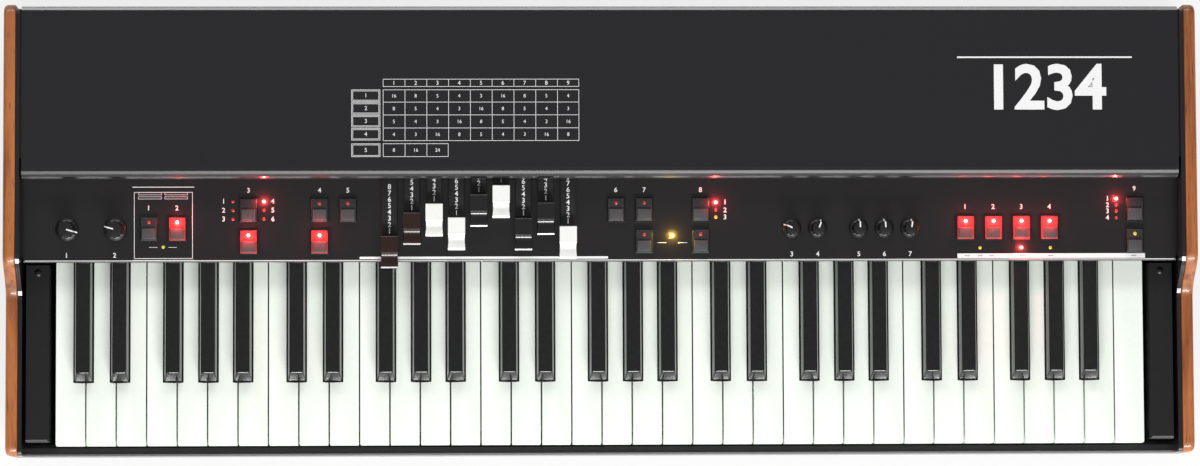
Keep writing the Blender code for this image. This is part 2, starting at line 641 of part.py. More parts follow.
def rocker():
    """Power switch rocker: two flats that meet at the pivot, with the lower half pressed in."""
    half, depth = ROCKER_HEIGHT / 2, ROCKER_DEPTH
    slant = math.tan(ROCKER_TILT)
    side = [(-depth / 2, -half), (-depth / 2, half), (depth / 2 + half * slant, half), (depth / 2, 0),
            (depth / 2 + half * slant, -half)]
    mesh = prism(side, "X", -ROCKER_WIDTH / 2, ROCKER_WIDTH / 2)
    mesh.transform(Matrix.Rotation(-ROCKER_TILT, 4, "X"))
    return mesh


def foot():
    profile = [(0, 0), (0.82 * FOOT_RADIUS, 0), (0.9 * FOOT_RADIUS, 0.1 * FOOT_HEIGHT),
               (FOOT_RADIUS, FOOT_HEIGHT), (0, FOOT_HEIGHT)]
    return turned(profile, 16)


def end_block(side):
    """Moulded block beside the keyboard, chamfered towards the keys and in front."""
    top, cut = KEY_TOP_Z + END_BLOCK_RISE, END_BLOCK_CHAMFER
    inner, outer = side * BLOCK_INNER, side * (BLOCK_INNER + END_BLOCK_WIDTH)
    front, rear = KEY_FRONT_Y + 1.5 * cut, PANEL_Y - cut / 2
    bm = bmesh.new()
    bm.from_mesh(block((min(inner, outer), front, INSIDE_Z), (max(inner, outer), rear, top)))
    edges = [edge for edge in bm.edges if all(v.co.z > top - 1e-6 for v in edge.verts)
             and (all(abs(v.co.x - inner) < 1e-6 for v in edge.verts)
                  or all(abs(v.co.y - front) < 1e-6 for v in edge.verts))]
    bmesh.ops.bevel(bm, geom=edges, offset=cut, segments=2, profile=0.5, affect="EDGES", material=-1)
    return to_mesh(bm, "end_block")


def build():
    for item in list(bpy.data.objects):
        bpy.data.objects.remove(item)
    black_steel = finish("black_steel", (0.020, 0.019, 0.021), 0.45)
    panel_black = finish("panel_black", (0.024, 0.023, 0.026), 0.40)
    wood = finish("wood", (0.40, 0.15, 0.05), 0.45)
    black_plastic = finish("black_plastic", (0.015, 0.015, 0.016), 0.50)
    ivory = finish("ivory", (0.86, 0.88, 0.85), 0.25)
    ebony = finish("ebony", (0.010, 0.010, 0.012), 0.18)
    button_grey = finish("button_grey", (0.045, 0.043, 0.046), 0.50)
    cap_colours = {
        "brown": finish("cap_brown", (0.055, 0.020, 0.014), 0.30),
        "white": finish("cap_white", (0.80, 0.80, 0.77), 0.30),
        "black": finish("cap_black", (0.012, 0.012, 0.013), 0.25),
    }
    steel = finish("zinc_steel", (0.55, 0.56, 0.58), 0.40, 0.9)
    circuit = finish("circuit_board", (0.02, 0.14, 0.06), 0.50)
    rubber = finish("rubber", (0.012, 0.012, 0.012), 0.80)

    place("chassis", chassis(), black_steel)
    place("hood", hood(), black_steel)
    for name, side in (("left", -1), ("right", 1)):
        place(f"{name}_cheek", cheek(side), wood)
        place(f"{name}_end_block", end_block(side), black_plastic)
    place("keybed_frame", keybed_frame(), steel)
    place("main_board", main_board(), circuit)
    keyboard(ivory, ebony)

    foot_mesh = foot()
    for depth_name, y in (("front", FRONT_Y + FOOT_INSET), ("rear", REAR_Y - FOOT_INSET)):
        for side_name, x in (("left", -PLATE_INNER + FOOT_INSET), ("right", PLATE_INNER - FOOT_INSET)):
            place(f"foot_{depth_name}_{side_name}", foot_mesh, rubber, (x, y, 0))
    axis_y = REAR_Y - ROCKER_DEPTH / 2
    place("power_switch", rocker(), black_plastic, (ROCKER_AT * PANEL_HALF, axis_y, rocker_height()))

    # everything on the sloping panel is placed in the panel's own plane
    plane = bpy.data.objects.new("panel_plane", None)
    bpy.context.scene.collection.objects.link(plane)
    plane.location = (0, PANEL_Y, PANEL_Z)
    plane.rotation_euler = (PANEL_SLOPE, 0, 0)
    place("control_panel", control_panel(), panel_black, parent=plane)
    place("panel_board", panel_board(), circuit, parent=plane)
    place("drawbar_block", drawbar_block(), black_plastic, (DRAWBAR_X, 0, 0), plane)
    button_mesh = button()
    for name, share, pitches, row in BUTTONS:
        place(f"button_{name}", button_mesh, button_grey, (button_x(share, pitches), row, 0), plane)
    knob_meshes = {radius: knob(radius) for radius in (LARGE_KNOB_RADIUS, SMALL_KNOB_RADIUS)}
    for name, share, radius, pointer in KNOBS:
        item = place(name, knob_meshes[radius], black_plastic, (share * PANEL_HALF, ROW_MIDDLE, 0), plane)
        item.rotation_euler = (0, 0, -math.radians(pointer))
    bar_mesh = drawbar()
    for i, position in enumerate(DRAWBAR_POSITIONS):
        x = DRAWBAR_X + (i - (DRAWBAR_COUNT - 1) / 2) * DRAWBAR_PITCH
        y = DRAWBAR_IN - position * DRAWBAR_STEP
        place(f"drawbar_{i + 1}", bar_mesh, cap_colours[DRAWBAR_COLOURS[i]], (x, y, 0), plane)
    bpy.context.view_layer.update()


build()
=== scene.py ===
import json
import math

import bmesh
import bpy
from mathutils import Matrix, Vector

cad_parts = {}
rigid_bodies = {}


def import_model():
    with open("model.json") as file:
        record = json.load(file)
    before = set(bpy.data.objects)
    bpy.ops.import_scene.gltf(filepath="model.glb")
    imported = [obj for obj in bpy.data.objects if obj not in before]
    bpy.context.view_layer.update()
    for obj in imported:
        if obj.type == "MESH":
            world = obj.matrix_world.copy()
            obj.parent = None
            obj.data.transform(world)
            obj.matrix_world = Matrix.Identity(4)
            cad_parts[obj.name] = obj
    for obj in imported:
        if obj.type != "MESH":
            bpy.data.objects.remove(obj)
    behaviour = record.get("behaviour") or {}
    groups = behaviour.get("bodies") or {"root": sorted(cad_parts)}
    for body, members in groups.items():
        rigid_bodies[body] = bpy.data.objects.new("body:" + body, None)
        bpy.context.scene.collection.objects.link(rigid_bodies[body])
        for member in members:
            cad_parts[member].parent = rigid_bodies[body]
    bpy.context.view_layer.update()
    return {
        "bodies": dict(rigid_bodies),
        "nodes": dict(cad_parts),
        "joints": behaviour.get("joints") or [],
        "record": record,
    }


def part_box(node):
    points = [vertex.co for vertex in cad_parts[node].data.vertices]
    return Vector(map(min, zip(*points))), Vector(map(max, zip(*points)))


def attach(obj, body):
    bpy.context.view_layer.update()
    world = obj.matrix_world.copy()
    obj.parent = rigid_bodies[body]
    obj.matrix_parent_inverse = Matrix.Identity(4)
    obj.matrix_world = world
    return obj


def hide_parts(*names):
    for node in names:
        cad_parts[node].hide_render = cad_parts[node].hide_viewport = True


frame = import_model()

# Sizes are in metres
TINY = 1e-6
CREASE = 35
ROUND_CREASE = 50

# Keys
OCTAVES = 5
OCTAVE_KEYS = 7
KEY_PITCH = 0.0235
KEY_GAP = 0.0011
COMB_GAP = 0.0010
KEY_VISIBLE = 0.1415
KEY_HIDDEN = 0.0100
KEY_CORNER = 0.0012
KEY_EDGE = 0.0005
WHITE_BODY = 0.0110
WHITE_LIP = 0.0040
WHITE_LIP_HEIGHT = 0.0190
LIP_SIDE_INSET = 0.0002
LIP_SETBACK = 0.0001
LIP_OVERLAP = 0.0005
BLACK_BASE = 0.0144
BLACK_TOP = 0.0105
BLACK_RISE = 0.0115
BLACK_SETBACK = 0.0497
BLACK_NOSE = 0.0061
BLACK_EDGE = 0.0014
BLACK_CLEARANCE = 0.0008
# each black key: the white key it follows, and its offset from the joint between the whites
BLACK_PLACES = ((0, -0.0016), (1, 0.0030), (3, -0.0030), (4, 0.0007), (5, 0.0040))

# Drawbars
DRAWBAR_COUNT = 9
DRAWBAR_STEPS = 8
DRAWBAR_STEP = 0.0390 / DRAWBAR_STEPS
DRAWBAR_IN = 0.0592
CAP_LENGTH = 0.0254
CAP_WIDTH = 0.0132
CAP_HEIGHT = 0.0110
CAP_LIFT = 0.0012
CAP_TABLE = 0.44 * CAP_LENGTH
CAP_REAR_ROUND = 0.0008
CAP_RIDGE = 0.0022
CAP_LIP = 0.0034
CAP_WAIST = 0.93
CAP_EDGE = 0.0004
STEM_WIDTH = 0.0120
STEM_LENGTH = 0.0800
STEM_LIFT = 0.0022
STEM_THICKNESS = 0.0030
STEM_EDGE = 0.0004
STEM_TOP = STEM_LIFT + STEM_THICKNESS
BAR_FIGURE_START = 0.0037
BAR_FIGURE_SIZE = 0.0055
BAR_FIGURE_WEIGHT = 0.00005

# Knobs
KNOB_ROW = 0.0257
KNOB_HALF_TURN = 150
LARGE_KNOB_RADIUS = 0.0090
SMALL_KNOB_RADIUS = 0.0075
GRIP_SHARE = 0.64
KNOB_TOP = 0.0156
KNOB_LIFT = 0.0006
KNOB_STEPS = 72
FLUTES = 12
FLUTE_DEPTH = 0.11
POINTER_WIDTH = 0.0010

# Buttons
BUTTON_WIDTH = 0.0128
BUTTON_LENGTH = 0.0178
BUTTON_RISE = 0.0030
BUTTON_FOOT = 0.0002
BUTTON_EDGE = 0.0005
BEZEL_WALL = 0.0009
BEZEL_CLEARANCE = 0.00025
BEZEL_RISE = 0.0018
BEZEL_FOOT = 0.00005
BEZEL_EDGE = 0.0002
PAD_INSET = 0.0011
PAD_REAR = 0.0094
PAD_SINK = 0.0002
PAD_RISE = 0.0014
BUTTON_LAMP_UP = 0.0052
BUTTON_LAMP_RADIUS = 0.0014

# Lamps
PANEL_LAMP_RADIUS = 0.0013
PANEL_LAMP_LIFT = 0.0003
LAMP_FOOT = 0.0003
GLOW_HEIGHT = 0.0042
GLOW_SIZE = 0.0008
GLOW_POWER = 0.035
GLOW_COLOURS = {"red": (1.0, 0.05, 0.05), "yellow": (1.0, 0.60, 0.08)}

# Printing
INK = 0.00006
INK_LIFT = 0.00003
FIGURE_WEIGHT = 0.00008

# Case
HOOD_FALL = 0.0015
HOOD_BULLNOSE = 0.0080
CHEEK_CORNER = 0.0080
CHEEK_FRONT_RISE = 0.0120
CHEEK_STEP_START = 0.0047
CHEEK_STEP_LENGTH = 0.0330
CHEEK_STEP_POINTS = 24
CHEEK_OUTER_ROUND = 0.0035
CHEEK_INNER_ROUND = 0.0008
JACK_COUNT = 6
JACK_LEFT = -0.330
JACK_PITCH = 0.0343
JACK_HEIGHT = 0.035
ROCKER_HALF_WIDTH = 0.0056
ROCKER_HALF_HEIGHT = 0.0078
ROCKER_RIM = 0.0018
ROCKER_RIM_DEPTH = 0.0012
SCREW_SETBACK = 0.006

# Stage, the camera placed from the middle of the key fronts
FLOOR_HALF_SIZE = 4
FLOOR_WHITE_SHARE = 0.72
LIGHT_AIM = (0, 0, 0.05)
CAMERA_LENS = 134.9
CAMERA_ACROSS = -0.1234
CAMERA_BEFORE = 0.0985
CAMERA_ABOVE = 3.488
AIM_ACROSS = -0.0010
AIM_BEHIND = 0.1644
CAMERA_ROLL = math.radians(-0.26)

# name, lamp's colour, lit
BUTTONS = (
    ("rotor_run", "red", False),
    ("rotor_fast", "red", True),
    ("vibrato_select", None, False),
    ("vibrato_on", "red", True),
    ("upper_preset_1", "red", False),
    ("upper_preset_2", "red", False),
    ("upper_hold", "red", True),
    ("lower_preset_1", "red", False),
    ("lower_preset_2", "red", False),
    ("lower_hold", "red", False),
    ("mode_select", None, False),
    ("pedals_on", "red", False),
    ("percussion_1", "red", True),
    ("percussion_2", "red", True),
    ("percussion_3", "red", True),
    ("percussion_4", "red", True),
    ("type_select", None, False),
    ("shift_select", "yellow", False),
)

# panel lamps: place across and up the panel, colour, lit
LAMPS = (
    (-0.2853, 0.0471, "red", False),
    (-0.2853, 0.0402, "red", False),
    (-0.2853, 0.0334, "red", False),
    (-0.2614, 0.0471, "red", True),
    (-0.2614, 0.0402, "red", False),
    (-0.2614, 0.0334, "red", False),
    (-0.3391, 0.0120, "yellow", False),
    (0.0544, 0.0203, "yellow", True),
    (0.0883, 0.0459, "red", True),
    (0.0883, 0.0398, "red", False),
    (0.0883, 0.0343, "yellow", False),
    (0.2939, 0.0102, "yellow", False),
    (0.3262, 0.0104, "red", True),
    (0.3488, 0.0102, "yellow", False),
    (0.4004, 0.0483, "red", True),
    (0.4004, 0.0432, "red", False),
    (0.4004, 0.0385, "red", False),
    (0.4004, 0.0334, "red", False),
)

# plain numbers beside the controls: figure, place across and up the panel
FIGURE_SIZE = 0.0052
FIGURES = (
    ("1", -0.3503, 0.0420), ("2", -0.3285, 0.0420), ("3", -0.2733, 0.0555), ("4", -0.2184, 0.0555),
    ("5", -0.1966, 0.0555), ("6", 0.0107, 0.0555), ("7", 0.0327, 0.0555), ("8", 0.0764, 0.0555),
    ("1", 0.2823, 0.0420), ("2", 0.3041, 0.0420), ("3", 0.3261, 0.0420), ("4", 0.3480, 0.0420),
    ("9", 0.4144, 0.0560), ("1", -0.2925, 0.0471), ("2", -0.2925, 0.0402), ("3", -0.2925, 0.0334),
    ("4", -0.2545, 0.0471), ("5", -0.2545, 0.0402), ("6", -0.2545, 0.0334), ("1", 0.0955, 0.0459),
    ("2", 0.0955, 0.0398), ("3", 0.0955, 0.0343), ("1", 0.3935, 0.0483), ("2", 0.3935, 0.0432),
    ("3", 0.3935, 0.0385), ("4", 0.3935, 0.0334), ("1", -0.4135, 0.0055), ("2", -0.3765, 0.0055),
    ("3", 0.1473, 0.0055), ("4", 0.1675, 0.0055), ("5", 0.1995, 0.0055), ("6", 0.2194, 0.0055),
    ("7", 0.2394, 0.0055),
)

# lines and bars on the panel: left, right, front, rear
CABINET = (-0.3615, -0.3163, 0.0030, 0.0545)
CABINET_LINE = 0.0004
LOUVRES = (
    (-0.3583, -0.3401, 0.0522, 0.0542),
    (-0.3583, -0.3401, 0.0490, 0.0510),
    (-0.3379, -0.3201, 0.0522, 0.0542),
    (-0.3379, -0.3201, 0.0490, 0.0510),
)
LOUVRE_LINE = 0.0003
PANEL_RULES = (
    (-0.1876, 0.0046, 0.0024, 0.0042),
    (-0.3627, -0.3151, 0.0580, 0.0586),
    (-0.3627, -0.3151, 0.0014, 0.0020),
    (-0.3500, -0.3435, 0.0116, 0.0119),
    (-0.3350, -0.3285, 0.0116, 0.0119),
    (0.0430, 0.0500, 0.0145, 0.0148),
    (0.0590, 0.0660, 0.0145, 0.0148),
    (0.2763, 0.4227, 0.0022, 0.0058),
)
# painted highlight: a thin white band in white ink along the panel's rounded front edge, its front and rear
# up the panel, and its margin at the ends
PAINTED_EDGE_HIGHLIGHT = (0.0012, 0.0017)
PAINTED_EDGE_HIGHLIGHT_MARGIN = 0.001
ARROW = ((-0.0948, 0.0016), (-0.0933, 0.0002), (-0.0918, 0.0016))
STRIP_MARKS = (0.284, 0.294, 0.303, 0.327, 0.349, 0.414)
STRIP_MARK_HALF = 0.002
STRIP_MARK_LINE = (0.0036, 0.0044)

# ruled table on the hood, its lines counted back from the key fronts
TABLE_LEFT = -0.1692
TABLE_PITCH = 0.0168
TABLE_COLUMNS = 9
TABLE_LINE = 0.00035
TABLE_HEAD = (0.2750, 0.2810)
TABLE_HEAD_FIGURES = 0.2778
TABLE_ROWS = (0.2728, 0.2629, 0.2530, 0.2429, 0.2331)
TABLE_FOOT = (0.2208, 0.2311)
TABLE_FOOT_COLUMNS = 3
TABLE_FOOT_FIGURES = 0.2259
HEAD_FIGURE_SIZE = 0.0045
CELL_FIGURE_SIZE = 0.0038
LABEL_SIDES = (-0.1935, -0.1713)
LABEL_MIDDLE = -0.1824
LABEL_HEIGHT = 0.0093
LABEL_INSET = 0.0009

# plain figures in the badge's place
BADGE_TEXT = "1234"
BADGE_PLACE = (0.3430, 0.2725)
BADGE_SIZE = 0.0480
BADGE_WEIGHT = 0.0012
BADGE_RULE = (0.2750, 0.4110, 0.2970, 0.2982)

# Places read from the frame
joints = {joint["name"]: joint for joint in frame["joints"]}
slots = {subpart["node"]: subpart["material_slot"] for subpart in frame["record"]["subparts"]}
slide = -Vector(joints["drawbar_1_pull"]["axis"])
knob_place = Vector(joints["volume_knob_turn"]["pos_m"])
white_low, white_high = (Vector(corner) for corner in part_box("white_keys_1"))
hood_low, hood_high = (Vector(corner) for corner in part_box("hood"))
KEY_FRONT = white_low.y
KEY_TOP = white_high.z
KEYBOARD_LEFT = white_low.x - COMB_GAP / 2
# the panel's plane: x across, y up its slope from its front edge, z out of it
SLOPE = math.atan2(slide.z, slide.y)
PANEL_ORIGIN = Vector((0, knob_place.y, knob_place.z)) - slide * KNOB_ROW
PANEL = Matrix.Translation(PANEL_ORIGIN) @ Matrix.Rotation(SLOPE, 4, "X")


# Materials

def new_material(name, colour, roughness, metallic=0.0, coat=0.0):
    """A material and its shader."""
    material = bpy.data.materials.new(name)
    material.use_nodes = True
    shader = material.node_tree.nodes["Principled BSDF"]
    shader.inputs["Base Color"].default_value = (*colour, 1)
    shader.inputs["Roughness"].default_value = roughness
    shader.inputs["Metallic"].default_value = metallic
    shader.inputs["Coat Weight"].default_value = coat
    return material, shader


def add_noise(shader, scale, bump, depth=0.0001, colours=None, roughness=None):
    """Fine noise in the surface's height, and if asked in its colour and roughness."""
    nodes, links = shader.id_data.nodes, shader.id_data.links
    where = nodes.new("ShaderNodeTexCoord")
    noise = nodes.new("ShaderNodeTexNoise")
    noise.inputs["Scale"].default_value = scale
    noise.inputs["Detail"].default_value = 4
    links.new(where.outputs["Object"], noise.inputs["Vector"])
    height = nodes.new("ShaderNodeBump")
    height.inputs["Strength"].default_value = bump
    height.inputs["Distance"].default_value = depth
    links.new(noise.outputs["Fac"], height.inputs["Height"])
    links.new(height.outputs["Normal"], shader.inputs["Normal"])
    if colours:
        ramp = nodes.new("ShaderNodeValToRGB")
        for element, position, colour in zip(ramp.color_ramp.elements, (0.35, 0.65), colours):
            element.position = position
            element.color = (*colour, 1)
        links.new(noise.outputs["Fac"], ramp.inputs["Fac"])
        links.new(ramp.outputs["Color"], shader.inputs["Base Color"])
    if roughness:
        spread = nodes.new("ShaderNodeMapRange")
        spread.inputs["To Min"].default_value = roughness[0]
        spread.inputs["To Max"].default_value = roughness[1]
        links.new(noise.outputs["Fac"], spread.inputs["Value"])
        links.new(spread.outputs["Result"], shader.inputs["Roughness"])


def powder_coat(name, low, high):
    """Fine-textured satin coat on steel, between two tones."""
    material, shader = new_material(name, low, 0.45, coat=0.8)
    shader.inputs["Coat Roughness"].default_value = 0.14
    add_noise(shader, 1800, 0.10, colours=(low, high), roughness=(0.30, 0.38))
    return material


def moulded(name, low, high, roughness, coat=0.0, scale=900, bump=0.05):
    """Moulded or printed surface with a barely uneven face, between two tones."""
    material, shader = new_material(name, low, roughness[0], coat=coat)
    add_noise(shader, scale, bump, colours=(low, high), roughness=roughness)
    return material


def lacquered_wood():
    """Orange-brown lacquered wood, its grain along the cheek's length."""
    material, shader = new_material("lacquered_wood", (0.4, 0.15, 0.05), 0.42, coat=0.25)
    nodes, links = material.node_tree.nodes, material.node_tree.links
    where = nodes.new("ShaderNodeTexCoord")
    stretch = nodes.new("ShaderNodeMapping")
    stretch.inputs["Scale"].default_value = (90, 5, 90)
    links.new(where.outputs["Object"], stretch.inputs["Vector"])
    figure = nodes.new("ShaderNodeTexNoise")
    figure.inputs["Scale"].default_value = 1.6
    figure.inputs["Detail"].default_value = 8
    figure.inputs["Distortion"].default_value = 0.6
    links.new(stretch.outputs["Vector"], figure.inputs["Vector"])
    tone = nodes.new("ShaderNodeValToRGB")
    dark, pale = tone.color_ramp.elements
    dark.position = 0.30
    dark.color = (0.16, 0.042, 0.010, 1)
    pale.position = 0.72
    pale.color = (0.47, 0.16, 0.045, 1)
    middle = tone.color_ramp.elements.new(0.5)
    middle.color = (0.35, 0.108, 0.028, 1)
    links.new(figure.outputs["Fac"], tone.inputs["Fac"])
    pores = nodes.new("ShaderNodeTexNoise")
    pores.inputs["Scale"].default_value = 14
    pores.inputs["Detail"].default_value = 2
    links.new(stretch.outputs["Vector"], pores.inputs["Vector"])
    shade = nodes.new("ShaderNodeValToRGB")
    inside, outside = shade.color_ramp.elements
    inside.position = 0.28
    inside.color = (0.45, 0.40, 0.38, 1)
    outside.position = 0.40
    links.new(pores.outputs["Fac"], shade.inputs["Fac"])
    darken = nodes.new("ShaderNodeMix")
    darken.data_type = "RGBA"
    darken.blend_type = "MULTIPLY"
    darken.inputs["Factor"].default_value = 1.0
    links.new(tone.outputs["Color"], darken.inputs["A"])
    links.new(shade.outputs["Color"], darken.inputs["B"])
    links.new(darken.outputs["Result"], shader.inputs["Base Color"])
    height = nodes.new("ShaderNodeBump")
    height.inputs["Strength"].default_value = 0.15
    height.inputs["Distance"].default_value = 0.0002
    links.new(pores.outputs["Fac"], height.inputs["Height"])
    links.new(height.outputs["Normal"], shader.inputs["Normal"])
    return material


def nickel():
    """Bright plated metal of the sockets."""
    material, shader = new_material("nickel", (0.62, 0.61, 0.60), 0.25, metallic=1.0)
    add_noise(shader, 500, 0.05)
    return material


def lamp_lens(name, colour, glow=None):
    """Coloured lens, with a hot middle in the glow's colour when it is lit."""
    material, shader = new_material(name, colour, 0.25)
    paler = tuple(min(1, 1.15 * channel) for channel in colour)
    add_noise(shader, 700, 0.03, colours=(colour, paler))
    if glow:
        shader.inputs["Emission Color"].default_value = (*glow, 1)
        shader.inputs["Emission Strength"].default_value = 6.0
    return material


HOOD_COAT = powder_coat("hood_coat", (0.0040, 0.0034, 0.0048), (0.0060, 0.0052, 0.0070))
PANEL_COAT = powder_coat("panel_coat", (0.0040, 0.0030, 0.0040), (0.0062, 0.0048, 0.0060))
WOOD = lacquered_wood()
KEY_WHITE = moulded("key_white", (0.76, 0.81, 0.745), (0.78, 0.83, 0.765), (0.16, 0.22), 0.3, 300, 0.02)
KEY_BLACK = moulded("key_black", (0.006, 0.006, 0.007), (0.009, 0.009, 0.010), (0.12, 0.18), 0.3, 300, 0.02)
PLASTIC = moulded("black_moulding", (0.004, 0.004, 0.005), (0.007, 0.007, 0.008), (0.36, 0.50))
BUTTON_GREY = moulded("button_grey", (0.050, 0.047, 0.050), (0.068, 0.064, 0.068), (0.42, 0.55))
WINDOW_DARK = moulded("button_window", (0.022, 0.021, 0.023), (0.030, 0.029, 0.031), (0.30, 0.40))
# painted glow: a lit button's window is coloured red, with no emission
WINDOW_PAINTED_GLOW = moulded("button_window_painted_glow", (0.42, 0.03, 0.03), (0.48, 0.04, 0.04), (0.30, 0.40))
# white ink for the print, also used for the painted highlight along the panel's front edge
WHITE_INK_AND_PAINTED_HIGHLIGHT = moulded("white_ink_and_painted_highlight", (0.74, 0.74, 0.74), (0.82, 0.82, 0.82), (0.55, 0.65))
INK_GREY = moulded("grey_ink", (0.30, 0.30, 0.31), (0.36, 0.36, 0.37), (0.55, 0.65))
CAP_PLASTICS = {
    "cap_brown": moulded("cap_brown", (0.020, 0.0072, 0.0058), (0.026, 0.0095, 0.0075), (0.24, 0.32), 0.15),
    "cap_white": moulded("cap_white", (0.82, 0.82, 0.79), (0.86, 0.86, 0.83), (0.22, 0.30), 0.3),
    "cap_black": moulded("cap_black", (0.008, 0.008, 0.009), (0.012, 0.012, 0.013), (0.18, 0.28), 0.3),
}
ZINC_STEEL = moulded("zinc_steel", (0.42, 0.43, 0.45), (0.55, 0.56, 0.58), (0.35, 0.50))
CIRCUIT = moulded("solder_mask", (0.015, 0.11, 0.045), (0.02, 0.15, 0.06), (0.45, 0.55))
RUBBER = moulded("foot_rubber", (0.010, 0.010, 0.010), (0.014, 0.014, 0.014), (0.75, 0.85))
NICKEL = nickel()
# by colour and whether it is lit
LENSES = {
    ("red", True): lamp_lens("lamp_red_lit", (1.0, 0.10, 0.10), (1.0, 0.30, 0.28)),
    ("yellow", True): lamp_lens("lamp_yellow_lit", (1.0, 0.75, 0.10), (1.0, 0.72, 0.15)),
    ("red", False): lamp_lens("lamp_red_off", (0.42, 0.03, 0.03)),
    ("yellow", False): lamp_lens("lamp_yellow_off", (0.55, 0.50, 0.06)),
}
NODE_FINISHES = {
    "chassis": HOOD_COAT,
    "hood": HOOD_COAT,
    "control_panel": PANEL_COAT,
    "left_end_block": PLASTIC,
    "right_end_block": PLASTIC,
    "keybed_frame": ZINC_STEEL,
    "panel_board": CIRCUIT,
    "main_board": CIRCUIT,
    "drawbar_block": PLASTIC,
    "power_switch": PLASTIC,
    "foot_front_left": RUBBER,
    "foot_front_right": RUBBER,
    "foot_rear_left": RUBBER,
    "foot_rear_right": RUBBER,
}


# Making pieces

def finished(bm, name, material, body, place=Matrix.Identity(4), crease=CREASE):
    """A bmesh made a piece that rides on a body."""
    bmesh.ops.remove_doubles(bm, verts=bm.verts, dist=0.1 * TINY)
    bmesh.ops.recalc_face_normals(bm, faces=bm.faces)
    mesh = bpy.data.meshes.new(name)
    bm.to_mesh(mesh)
    bm.free()
    mesh.transform(place)
    mesh.materials.append(material)
    mesh.shade_smooth()
    mesh.set_sharp_from_angle(angle=math.radians(crease))
    piece = bpy.data.objects.new(name, mesh)
    bpy.context.scene.collection.objects.link(piece)
    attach(piece, body)
    return piece


def extruded(bm, points, shift):
    """A face through points, pushed along shift into a solid."""
    face = bm.faces.new([bm.verts.new(point) for point in points])
    region = bmesh.ops.extrude_face_region(bm, geom=[face])
    ends = [item for item in region["geom"] if isinstance(item, bmesh.types.BMVert)]
    bmesh.ops.translate(bm, verts=ends, vec=shift)


def bar(bm, left, right, front, rear, low, high):
    """A box between its six sides."""
    corners = [(left, front, low), (right, front, low), (right, rear, low), (left, rear, low)]
    extruded(bm, corners, (0, 0, high - low))


def rim(bm, outer, inner, low, high):
    """A rectangular rim between two half sizes, its low edges and its high ones joined by faces."""
    rings = []
    for half_width, half_length in (outer, inner):
        corners = [(-half_width, -half_length), (half_width, -half_length),
                   (half_width, half_length), (-half_width, half_length)]
        for height in (low, high):
            rings.append([bm.verts.new((x, y, height)) for x, y in corners])
    outer_low, outer_high, inner_low, inner_high = rings
    around = [outer_low, outer_high, inner_high, inner_low]
    for one, other in zip(around, around[1:] + around[:1]):
        for i in range(4):
            j = (i + 1) % 4
            bm.faces.new((one[i], one[j], other[j], other[i]))


def spun(bm, profile, steps):
    """A profile of (radius, height) points turned about Z."""
    verts = [bm.verts.new((radius, 0, height)) for radius, height in profile]
    edges = [bm.edges.new(pair) for pair in zip(verts, verts[1:])]
    bmesh.ops.spin(bm, geom=verts + edges, cent=(0, 0, 0), axis=(0, 0, 1), angle=2 * math.pi,
                   steps=steps, use_merge=True)
    bmesh.ops.remove_doubles(bm, verts=bm.verts, dist=0.1 * TINY)


def edges_where(bm, test):
    return [edge for edge in bm.edges if all(test(v.co) for v in edge.verts)]


def edges_above(bm, height):
    return edges_where(bm, lambda co: co.z > height - TINY)


def round_edges(bm, edges, radius, segments):
    bmesh.ops.bevel(bm, geom=edges, offset=radius, segments=segments, profile=0.5, affect="EDGES",
                    material=-1, clamp_overlap=True)


def arc(centre, radius, start, end, steps):
    """Points on an arc, angles in degrees."""
    points = []
    for i in range(steps + 1):
        angle = math.radians(start + (end - start) * i / steps)
        points.append((centre[0] + radius * math.cos(angle), centre[1] + radius * math.sin(angle)))
    return points


def print_figure(bm, text, size, x, y, height=INK / 2, heavier=0.0):
    """A plain figure as a thin solid, its middle at (x, y)."""
    curve = bpy.data.curves.new("figure", "FONT")
    curve.body = text
    curve.size = size
    curve.extrude = INK / 2
    curve.offset = heavier
    curve.resolution_u = 3
    curve.align_x = "CENTER"
    curve.align_y = "CENTER"
    item = bpy.data.objects.new("figure", curve)
    bpy.context.scene.collection.objects.link(item)
    evaluated = item.evaluated_get(bpy.context.evaluated_depsgraph_get())
    mesh = bpy.data.meshes.new_from_object(evaluated)
    bpy.data.objects.remove(item)
    mesh.transform(Matrix.Translation((x, y, height)))
    bm.from_mesh(mesh)


def print_bar(bm, left, right, front, rear):
    bar(bm, left, right, front, rear, 0, INK)


def print_box(bm, left, right, front, rear, line):
    """Four lines round a rectangle."""
    print_bar(bm, left, right, front, front + line)
    print_bar(bm, left, right, rear - line, rear)
    print_bar(bm, left, left + line, front + line, rear - line)
    print_bar(bm, right - line, right, front + line, rear - line)


# Keys

def tail_sides(index, left, right):
    """Left and right side of a white key's tail, clear of the black keys beside it."""
    reach = BLACK_BASE / 2 + BLACK_CLEARANCE
    for after, offset in BLACK_PLACES:
        middle = (after + 1) * KEY_PITCH + offset
        if after == index:
            right = min(right, middle - reach)
        if after == index - 1:
            left = max(left, middle + reach)
    return left, right


